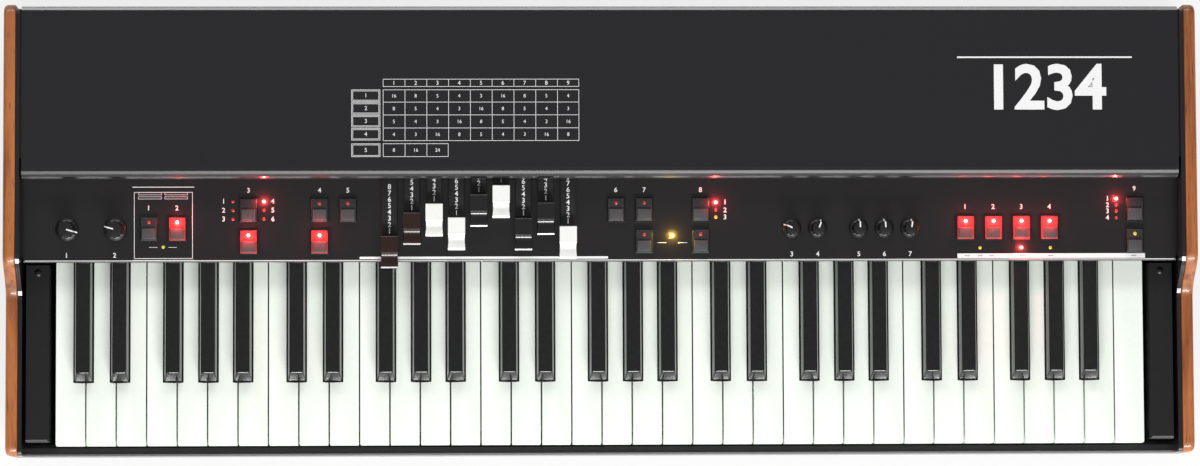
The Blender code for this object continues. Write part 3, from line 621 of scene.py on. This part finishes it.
def white_key(index, body, octave_left):
    """One waterfall key: full-width head, narrow tail, rounded front and edges, and its lip."""
    left = index * KEY_PITCH + KEY_GAP / 2
    right = (index + 1) * KEY_PITCH - KEY_GAP / 2
    tail_left, tail_right = tail_sides(index, left, right)
    notch = BLACK_SETBACK - BLACK_CLEARANCE
    tail_end = KEY_VISIBLE + KEY_HIDDEN
    outline = [(left, 0), (right, 0)]
    if tail_right < right:
        outline += [(right, notch), (tail_right, notch)]
    outline += [(tail_right, tail_end), (tail_left, tail_end)]
    if tail_left > left:
        outline += [(tail_left, notch), (left, notch)]
    bm = bmesh.new()
    extruded(bm, [(x, y, -WHITE_BODY) for x, y in outline], (0, 0, WHITE_BODY))
    front = edges_where(bm, lambda co: co.y < TINY)
    corners = [edge for edge in front if abs(edge.verts[0].co.x - edge.verts[1].co.x) < TINY]
    round_edges(bm, corners, KEY_CORNER, 3)
    visible = edges_where(bm, lambda co: co.z > -TINY and co.y < KEY_VISIBLE)
    round_edges(bm, visible, KEY_EDGE, 2)
    bar(bm, left + LIP_SIDE_INSET, right - LIP_SIDE_INSET, LIP_SETBACK, WHITE_LIP,
        -WHITE_LIP_HEIGHT, -WHITE_BODY + LIP_OVERLAP)
    place = Matrix.Translation((octave_left, KEY_FRONT, KEY_TOP))
    piece = finished(bm, f"white_key_{body[-1]}_{index + 1}", KEY_WHITE, body, place)
    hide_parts(body)


def is_ridge(edge):
    """True on a black key's upper edges, apart from those at its hidden end."""
    ends = [v.co for v in edge.verts]
    forward = [co.y < KEY_VISIBLE - TINY for co in ends]
    raised = all(co.z > -TINY for co in ends) and any(co.z > TINY for co in ends)
    on_top = all(co.z > BLACK_RISE - TINY for co in ends)
    return raised and (all(forward) or on_top and any(forward))


def black_key(number, middle, body, octave_left):
    """One black key: sides drawn in towards a flat top with rounded edges, and a sloping nose."""
    side = [(BLACK_SETBACK, -WHITE_BODY), (KEY_VISIBLE, -WHITE_BODY), (KEY_VISIBLE, 0),
            (KEY_VISIBLE, BLACK_RISE), (BLACK_SETBACK + BLACK_NOSE, BLACK_RISE), (BLACK_SETBACK, 0)]
    bm = bmesh.new()
    extruded(bm, [(-BLACK_BASE / 2, y, z) for y, z in side], (BLACK_BASE, 0, 0))
    everything = bm.verts[:] + bm.edges[:] + bm.faces[:]
    bmesh.ops.bisect_plane(bm, geom=everything, plane_co=(0, 0, 0), plane_no=(0, 0, 1))
    top = [v for v in bm.verts if v.co.z > BLACK_RISE - TINY]
    bmesh.ops.scale(bm, verts=top, vec=(BLACK_TOP / BLACK_BASE, 1, 1))
    round_edges(bm, [edge for edge in bm.edges if is_ridge(edge)], BLACK_EDGE, 4)
    place = Matrix.Translation((octave_left + middle, KEY_FRONT, KEY_TOP))
    piece = finished(bm, f"black_key_{body[-1]}_{number}", KEY_BLACK, body, place)
    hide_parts(body)


def keyboard():
    """Five octaves and the top key, each key riding on its octave's comb."""
    for octave in range(OCTAVES):
        octave_left = KEYBOARD_LEFT + OCTAVE_KEYS * octave * KEY_PITCH
        count = OCTAVE_KEYS + (octave == OCTAVES - 1)
        for index in range(count):
            white_key(index, f"white_keys_{octave + 1}", octave_left)
        for number, (after, offset) in enumerate(BLACK_PLACES, 1):
            black_key(number, (after + 1) * KEY_PITCH + offset, f"black_keys_{octave + 1}", octave_left)


# Drawbars

def cap_side():
    """Side of a cap from its rear foot: table, ridge, hollow and lip."""
    top = CAP_LIFT + CAP_HEIGHT
    lip = CAP_LIFT + 0.55 * CAP_HEIGHT
    front = -CAP_LENGTH
    hollow = (-CAP_TABLE - 0.25 * CAP_LENGTH, top)
    side = [(0, CAP_LIFT), (0, top - 0.0006)]
    side += arc((-CAP_REAR_ROUND, top - CAP_REAR_ROUND), CAP_REAR_ROUND, 0, 90, 3)
    side += [(-CAP_TABLE, top), (-CAP_TABLE - 0.0012, top + 0.0003), (-CAP_TABLE - CAP_RIDGE, top - 0.0006)]
    side += arc(hollow, 0.22 * CAP_LENGTH, -12, -110, 8)
    side += [(front + 0.0032, lip), (front + 0.0016, lip + 0.0006), (front + 0.0005, lip), (front, CAP_LIFT)]
    return side


def is_cap_edge(edge):
    """True on the upper edges of a cap's two sides."""
    one, other = (v.co for v in edge.verts)
    lengthwise = abs(one.x - other.x) < 1e-4 and abs(one.z - other.z) < 0.004
    return lengthwise and min(one.z, other.z) > CAP_LIFT + 1e-4


def drawbar_cap():
    """A cap whose hollow is narrower than its table and lip."""
    bm = bmesh.new()
    extruded(bm, [(-CAP_WIDTH / 2, y, z) for y, z in cap_side()], (CAP_WIDTH, 0, 0))
    bmesh.ops.remove_doubles(bm, verts=bm.verts, dist=1e-5)
    start, end = -CAP_TABLE - CAP_RIDGE, -CAP_LENGTH + CAP_LIP
    waist = [v for v in bm.verts if end < v.co.y < start]
    bmesh.ops.scale(bm, verts=waist, vec=(CAP_WAIST, 1, 1))
    round_edges(bm, [edge for edge in bm.edges if is_cap_edge(edge)], CAP_EDGE, 2)
    return bm


def drawbar(number):
    """Coloured cap and numbered bar, drawn out as far as the joint says."""
    body = f"drawbar_{number}"
    position = -joints[f"{body}_pull"]["range_m"][0] / DRAWBAR_STEP
    low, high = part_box(body)
    place = PANEL @ Matrix.Translation(((low[0] + high[0]) / 2, DRAWBAR_IN - position * DRAWBAR_STEP, 0))
    cap = finished(drawbar_cap(), f"{body}_cap", CAP_PLASTICS[slots[body]], body, place)
    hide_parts(body)
    bm = bmesh.new()
    bar(bm, -STEM_WIDTH / 2, STEM_WIDTH / 2, -CAP_LENGTH / 3, STEM_LENGTH, STEM_LIFT, STEM_TOP)
    round_edges(bm, edges_above(bm, STEM_TOP), STEM_EDGE, 2)
    stem = finished(bm, f"{body}_bar", PLASTIC, body, place)
    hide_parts(body)
    bm = bmesh.new()
    for i in range(DRAWBAR_STEPS):
        print_figure(bm, str(i + 1), BAR_FIGURE_SIZE, 0, BAR_FIGURE_START + i * DRAWBAR_STEP,
                     STEM_TOP + INK_LIFT, BAR_FIGURE_WEIGHT)
    finished(bm, f"{body}_numbers", WHITE_INK_AND_PAINTED_HIGHLIGHT, body, place)


# Knobs, buttons and lamps

def knob(name, radius):
    """Fluted grip on a skirt, with a white line over its top and down its side."""
    joint = joints[f"{name}_turn"]
    grip = GRIP_SHARE * radius
    low, top = KNOB_LIFT, KNOB_TOP
    bm = bmesh.new()
    spun(bm, [(0, low), (radius, low), (radius, low + 0.0010), (0.95 * radius, low + 0.0022),
              (1.16 * grip, low + 0.0032), (1.10 * grip, low + 0.0060), (1.02 * grip, top - 0.0010),
              (0.95 * grip, top - 0.0002), (0.78 * grip, top), (0, top + 0.0002)], KNOB_STEPS)
    for v in bm.verts:
        if low + 0.0030 < v.co.z < top - 0.0004 and v.co.xy.length > 0.5 * grip:
            ripple = 0.5 + 0.5 * math.cos(FLUTES * math.atan2(v.co.y, v.co.x))
            shrink = 1 - FLUTE_DEPTH * ripple ** 2
            v.co.x *= shrink
            v.co.y *= shrink
    pointer = math.radians(joint["range_deg"][0] + KNOB_HALF_TURN)
    place = Matrix.Translation(joint["pos_m"]) @ Matrix.Rotation(SLOPE, 4, "X")
    place = place @ Matrix.Rotation(-pointer, 4, "Z")
    piece = finished(bm, f"{name}_grip", PLASTIC, name, place, ROUND_CREASE)
    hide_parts(name)
    bm = bmesh.new()
    half = POINTER_WIDTH / 2
    bar(bm, -half, half, 0.10 * grip, 0.99 * grip, top - 0.0001, top + 0.0003)
    side = [(0.95 * grip, top - 0.0006), (1.17 * grip, low + 0.0034), (1.46 * grip, low + 0.0024),
            (1.48 * grip, low + 0.0028), (1.21 * grip, low + 0.0038), (1.02 * grip, top + 0.0003)]
    extruded(bm, [(-half, y, z) for y, z in side], (POINTER_WIDTH, 0, 0))
    finished(bm, f"{name}_line", WHITE_INK_AND_PAINTED_HIGHLIGHT, name, place)


def button(name, colour, lit):
    """Bezel in the panel, and the cap with its window, raised pad and lamp."""
    body = f"button_{name}"
    low, high = (Vector(corner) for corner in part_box(body))
    centre = PANEL.inverted() @ ((low + high) / 2)
    place = PANEL @ Matrix.Translation((centre.x, round(centre.y, 4), 0))
    half_width, half_length = BUTTON_WIDTH / 2, BUTTON_LENGTH / 2
    bm = bmesh.new()
    rim(bm, (half_width + BEZEL_WALL, half_length + BEZEL_WALL),
        (half_width + BEZEL_CLEARANCE, half_length + BEZEL_CLEARANCE), BEZEL_FOOT, BEZEL_RISE)
    round_edges(bm, edges_above(bm, BEZEL_RISE), BEZEL_EDGE, 2)
    finished(bm, f"{body}_bezel", PLASTIC, "case", place)
    bm = bmesh.new()
    bar(bm, -half_width, half_width, -half_length, half_length, BUTTON_FOOT, BUTTON_RISE)
    round_edges(bm, edges_above(bm, BUTTON_RISE), BUTTON_EDGE, 2)
    # a lit button's window takes the painted red glow, an unlit one its dark grey
    glass = WINDOW_PAINTED_GLOW if lit else WINDOW_DARK
    window = finished(bm, f"{body}_window", glass, body, place)
    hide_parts(body)
    bm = bmesh.new()
    pad_top = BUTTON_RISE + PAD_RISE
    bar(bm, -half_width + PAD_INSET, half_width - PAD_INSET, -half_length + PAD_INSET,
        -half_length + PAD_REAR, BUTTON_RISE - PAD_SINK, pad_top)
    round_edges(bm, edges_above(bm, pad_top), BUTTON_EDGE, 3)
    pad = finished(bm, f"{body}_pad", BUTTON_GREY, body, place)
    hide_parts(body)
    if colour:
        spot = place @ Matrix.Translation((0, BUTTON_LAMP_UP, BUTTON_RISE + 0.0001))
        lamp(f"{body}_lamp", spot, BUTTON_LAMP_RADIUS, colour, lit, body)


def lamp(name, place, radius, colour, lit, body):
    """A small domed lens, and the light that it throws round itself when it is lit."""
    bm = bmesh.new()
    spun(bm, [(0, 0.42 * radius), (0.45 * radius, 0.36 * radius), (0.8 * radius, 0.2 * radius), (radius, 0),
              (radius, -LAMP_FOOT), (0, -LAMP_FOOT)], 20)
    finished(bm, name, LENSES[colour, lit], body, place)
    if lit:
        light = bpy.data.lights.new(f"{name}_glow", "POINT")
        light.energy = GLOW_POWER
        light.color = GLOW_COLOURS[colour]
        light.shadow_soft_size = GLOW_SIZE
        glow = bpy.data.objects.new(f"{name}_glow", light)
        bpy.context.scene.collection.objects.link(glow)
        glow.location = place @ Vector((0, 0, GLOW_HEIGHT))
        glow.parent = frame["bodies"][body]


def panel_lamps():
    for number, (x, y, colour, lit) in enumerate(LAMPS, 1):
        place = PANEL @ Matrix.Translation((x, y, PANEL_LAMP_LIFT))
        lamp(f"panel_lamp_{number}", place, PANEL_LAMP_RADIUS, colour, lit, "case")


# Printing

def panel_print():
    """Lines, frames, label strip and plain numbers on the panel, and a painted highlight as a white band
    along its front edge.
    """
    bm = bmesh.new()
    # painted highlight: a full-width white band along the panel's front edge
    print_bar(bm, -hood_high.x + PAINTED_EDGE_HIGHLIGHT_MARGIN, hood_high.x - PAINTED_EDGE_HIGHLIGHT_MARGIN, *PAINTED_EDGE_HIGHLIGHT)
    bm.faces.new([bm.verts.new((x, y, INK)) for x, y in ARROW])
    print_box(bm, *CABINET, CABINET_LINE)
    for louvre in LOUVRES:
        print_box(bm, *louvre, LOUVRE_LINE)
    for sides in PANEL_RULES:
        print_bar(bm, *sides)
    for text, x, y in FIGURES:
        print_figure(bm, text, FIGURE_SIZE, x, y, heavier=FIGURE_WEIGHT)
    finished(bm, "panel_print", WHITE_INK_AND_PAINTED_HIGHLIGHT, "case", PANEL @ Matrix.Translation((0, 0, INK_LIFT)))
    bm = bmesh.new()
    for x in STRIP_MARKS:
        print_bar(bm, x - STRIP_MARK_HALF, x + STRIP_MARK_HALF, *STRIP_MARK_LINE)
    finished(bm, "strip_marks", INK_GREY, "case", PANEL @ Matrix.Translation((0, 0, INK_LIFT + INK)))


def table_lines(bm):
    """Head, rows and foot of the ruled table."""
    right = TABLE_LEFT + TABLE_PITCH * TABLE_COLUMNS
    foot_right = TABLE_LEFT + TABLE_FOOT_COLUMNS * TABLE_PITCH
    print_box(bm, TABLE_LEFT, right, *TABLE_HEAD, TABLE_LINE)
    print_box(bm, TABLE_LEFT, right, TABLE_ROWS[-1], TABLE_ROWS[0], TABLE_LINE)
    print_box(bm, TABLE_LEFT, foot_right, *TABLE_FOOT, TABLE_LINE)
    for y in TABLE_ROWS[1:-1]:
        print_bar(bm, TABLE_LEFT, right, y, y + TABLE_LINE)
    for column in range(1, TABLE_COLUMNS):
        x = TABLE_LEFT + column * TABLE_PITCH
        print_bar(bm, x, x + TABLE_LINE, TABLE_ROWS[-1], TABLE_ROWS[0])
        print_bar(bm, x, x + TABLE_LINE, *TABLE_HEAD)
        if column < TABLE_FOOT_COLUMNS:
            print_bar(bm, x, x + TABLE_LINE, *TABLE_FOOT)


def table_figures(bm):
    """Plain numbers in the table's cells."""
    for column in range(TABLE_COLUMNS):
        x = TABLE_LEFT + (column + 0.5) * TABLE_PITCH
        print_figure(bm, str(column + 1), HEAD_FIGURE_SIZE, x, TABLE_HEAD_FIGURES)
        for row, (rear, front) in enumerate(zip(TABLE_ROWS, TABLE_ROWS[1:])):
            figure = 16 // (1 + (column + row) % 5)
            print_figure(bm, str(figure), CELL_FIGURE_SIZE, x, (rear + front) / 2)
    for column in range(TABLE_FOOT_COLUMNS):
        x = TABLE_LEFT + (column + 0.5) * TABLE_PITCH
        print_figure(bm, str(8 * (column + 1)), CELL_FIGURE_SIZE, x, TABLE_FOOT_FIGURES)


def table_labels(bm):
    """Double-framed labels at the left of the table's rows, with plain numbers."""
    left, right = LABEL_SIDES
    spans = [(rear - LABEL_HEIGHT, rear) for rear in TABLE_ROWS[:-1]] + [TABLE_FOOT]
    for number, (front, rear) in enumerate(spans, 1):
        print_box(bm, left, right, front, rear, TABLE_LINE)
        print_box(bm, left + LABEL_INSET, right - LABEL_INSET, front + LABEL_INSET, rear - LABEL_INSET,
                  TABLE_LINE)
        print_figure(bm, str(number), HEAD_FIGURE_SIZE, LABEL_MIDDLE, (front + rear) / 2)


def hood_print():
    """Ruled table, and the plain figures in the badge's place."""
    top_front = hood_low.y + HOOD_BULLNOSE
    fall = math.atan2(HOOD_FALL, hood_high.y - top_front)
    place = Matrix.Translation((0, top_front, hood_high.z - HOOD_FALL + INK_LIFT))
    place = place @ Matrix.Rotation(fall, 4, "X") @ Matrix.Translation((0, KEY_FRONT - top_front, 0))
    bm = bmesh.new()
    table_lines(bm)
    table_figures(bm)
    table_labels(bm)
    print_figure(bm, BADGE_TEXT, BADGE_SIZE, *BADGE_PLACE, heavier=BADGE_WEIGHT)
    print_bar(bm, *BADGE_RULE)
    finished(bm, "hood_print", WHITE_INK_AND_PAINTED_HIGHLIGHT, "case", place)


# Case

def cheek(name, outwards):
    """Solid wooden end that steps down beside the keys, its edges rounded over."""
    low, high = (Vector(corner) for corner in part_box(name))
    inner, outer = (high.x, low.x) if outwards < 0 else (low.x, high.x)
    front_top = KEY_TOP + CHEEK_FRONT_RISE
    step_start = PANEL_ORIGIN.y + CHEEK_STEP_START
    side = [(low.y, low.z), (high.y, low.z)]
    side += arc((high.y - CHEEK_CORNER, high.z - CHEEK_CORNER), CHEEK_CORNER, 0, 90, 8)
    for i in range(CHEEK_STEP_POINTS + 1):
        share = i / CHEEK_STEP_POINTS
        z = front_top + (high.z - front_top) * (1 + math.cos(math.pi * share)) / 2
        side.append((step_start - CHEEK_STEP_LENGTH * share, z))
    side += arc((low.y + CHEEK_CORNER, front_top - CHEEK_CORNER), CHEEK_CORNER, 90, 180, 8)
    bm = bmesh.new()
    extruded(bm, [(inner, y, z) for y, z in side], (outer - inner, 0, 0))
    round_edges(bm, edges_where(bm, lambda co: abs(co.x - outer) < 1e-5), CHEEK_OUTER_ROUND, 6)
    round_edges(bm, edges_where(bm, lambda co: abs(co.x - inner) < 1e-5), CHEEK_INNER_ROUND, 2)
    piece = finished(bm, f"{name}_board", WOOD, "case", crease=ROUND_CREASE)
    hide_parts(name)


def jacks(wall):
    """A row of audio jacks in the rear wall."""
    rearwards = Matrix.Rotation(-math.pi / 2, 4, "X")
    for i in range(JACK_COUNT):
        bm = bmesh.new()
        spun(bm, [(0.0033, -0.006), (0.0033, 0.0022), (0.0048, 0.0026), (0.0058, 0.0020), (0.0058, 0.0000),
                  (0.0075, 0.0000), (0.0075, -0.0004), (0, -0.0004)], 32)
        place = Matrix.Translation((JACK_LEFT + i * JACK_PITCH, wall + 0.0003, JACK_HEIGHT)) @ rearwards
        finished(bm, f"jack_{i + 1}", NICKEL if i % 2 else PLASTIC, "case", place)


def rocker_frame(wall):
    """Four-sided frame round the power rocker."""
    low, high = (Vector(corner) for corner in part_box("power_switch"))
    x, z = (low.x + high.x) / 2, (low.z + high.z) / 2
    left, right = x - ROCKER_HALF_WIDTH, x + ROCKER_HALF_WIDTH
    bottom, top = z - ROCKER_HALF_HEIGHT, z + ROCKER_HALF_HEIGHT
    rear = wall + ROCKER_RIM_DEPTH
    bm = bmesh.new()
    bar(bm, left - ROCKER_RIM, right + ROCKER_RIM, wall, rear, top, top + ROCKER_RIM)
    bar(bm, left - ROCKER_RIM, right + ROCKER_RIM, wall, rear, bottom - ROCKER_RIM, bottom)
    bar(bm, left - ROCKER_RIM, left, wall, rear, bottom, top)
    bar(bm, right, right + ROCKER_RIM, wall, rear, bottom, top)
    finished(bm, "rocker_frame", PLASTIC, "case")


def block_screws():
    """A round-headed screw at the rear of each end block."""
    for number, node in enumerate(("left_end_block", "right_end_block"), 1):
        low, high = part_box(node)
        bm = bmesh.new()
        spun(bm, [(0, 0.0011), (0.0012, 0.0010), (0.0024, 0.0005), (0.0028, 0), (0, 0)], 20)
        place = Matrix.Translation(((low[0] + high[0]) / 2, high[1] - SCREW_SETBACK, high[2]))
        finished(bm, f"block_screw_{number}", PLASTIC, "case", place)


def dress_cad_nodes():
    for name, material in NODE_FINISHES.items():
        materials = frame["nodes"][name].data.materials
        materials.clear()
        materials.append(material)


# Stage

def floor():
    """Pale floor that looks almost white to the camera and keeps the object's shadow."""
    bm = bmesh.new()
    bmesh.ops.create_grid(bm, x_segments=1, y_segments=1, size=FLOOR_HALF_SIZE)
    mesh = bpy.data.meshes.new("floor")
    bm.to_mesh(mesh)
    bm.free()
    ground = bpy.data.objects.new("floor", mesh)
    bpy.context.scene.collection.objects.link(ground)
    material, shader = new_material("pale_floor", (0.86, 0.86, 0.86), 0.8)
    nodes, links = material.node_tree.nodes, material.node_tree.links
    white = nodes.new("ShaderNodeEmission")
    white.inputs["Strength"].default_value = 1.0
    path = nodes.new("ShaderNodeLightPath")
    share = nodes.new("ShaderNodeMath")
    share.operation = "MULTIPLY"
    share.inputs[1].default_value = FLOOR_WHITE_SHARE
    mix = nodes.new("ShaderNodeMixShader")
    links.new(path.outputs["Is Camera Ray"], share.inputs[0])
    links.new(share.outputs[0], mix.inputs["Fac"])
    links.new(shader.outputs["BSDF"], mix.inputs[1])
    links.new(white.outputs["Emission"], mix.inputs[2])
    links.new(mix.outputs["Shader"], nodes["Material Output"].inputs["Surface"])
    mesh.materials.append(material)


def soft_light(name, place, size, power):
    """A rectangular light aimed at the middle of the organ."""
    light = bpy.data.lights.new(name, "AREA")
    light.shape = "RECTANGLE"
    light.size, light.size_y = size
    light.energy = power
    item = bpy.data.objects.new(name, light)
    bpy.context.scene.collection.objects.link(item)
    item.location = place
    aim = Vector(LIGHT_AIM) - Vector(place)
    item.rotation_euler = aim.to_track_quat("-Z", "Y").to_euler()


def lighting():
    world = bpy.data.worlds.new("studio")
    world.use_nodes = True
    back = world.node_tree.nodes["Background"]
    back.inputs["Color"].default_value = (1, 1, 1, 1)
    back.inputs["Strength"].default_value = 0.25
    bpy.context.scene.world = world
    soft_light("front_soft", (0.2, -2.5, 1.6), (2.2, 0.5), 130)
    soft_light("rear_soft", (-0.4, 2.5, 1.8), (3.0, 0.7), 50)
    bpy.context.scene.view_settings.view_transform = "Standard"


def camera():
    """Camera almost straight above, a little in front and left of the middle."""
    data = bpy.data.cameras.new("camera")
    data.sensor_width = 36
    data.lens = CAMERA_LENS
    data.clip_end = 50
    eye = bpy.data.objects.new("camera", data)
    bpy.context.scene.collection.objects.link(eye)
    place = Vector((CAMERA_ACROSS, KEY_FRONT - CAMERA_BEFORE, KEY_TOP + CAMERA_ABOVE))
    aim = Vector((AIM_ACROSS, KEY_FRONT + AIM_BEHIND, KEY_TOP))
    back = (place - aim).normalized()
    right = -back.cross(Vector((0, 1, 0))).normalized()
    up = back.cross(right)
    upright = Matrix((right, up, back)).transposed().to_4x4()
    eye.matrix_world = Matrix.Translation(place) @ upright @ Matrix.Rotation(CAMERA_ROLL, 4, "Z")
    bpy.context.scene.camera = eye


camera()
dress_cad_nodes()
keyboard()
for drawbar_number in range(1, DRAWBAR_COUNT + 1):
    drawbar(drawbar_number)
for knob_name in ("volume_knob", "drive_knob"):
    knob(knob_name, LARGE_KNOB_RADIUS)
for knob_name in ("reverb_knob", "click_knob", "bass_knob", "mid_knob", "treble_knob"):
    knob(knob_name, SMALL_KNOB_RADIUS)
for button_name, lamp_colour, lamp_lit in BUTTONS:
    button(button_name, lamp_colour, lamp_lit)
panel_lamps()
cheek("left_cheek", -1)
cheek("right_cheek", 1)
panel_print()
hood_print()
rear_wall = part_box("chassis")[1][1]
jacks(rear_wall)
rocker_frame(rear_wall)
block_screws()
floor()
lighting()
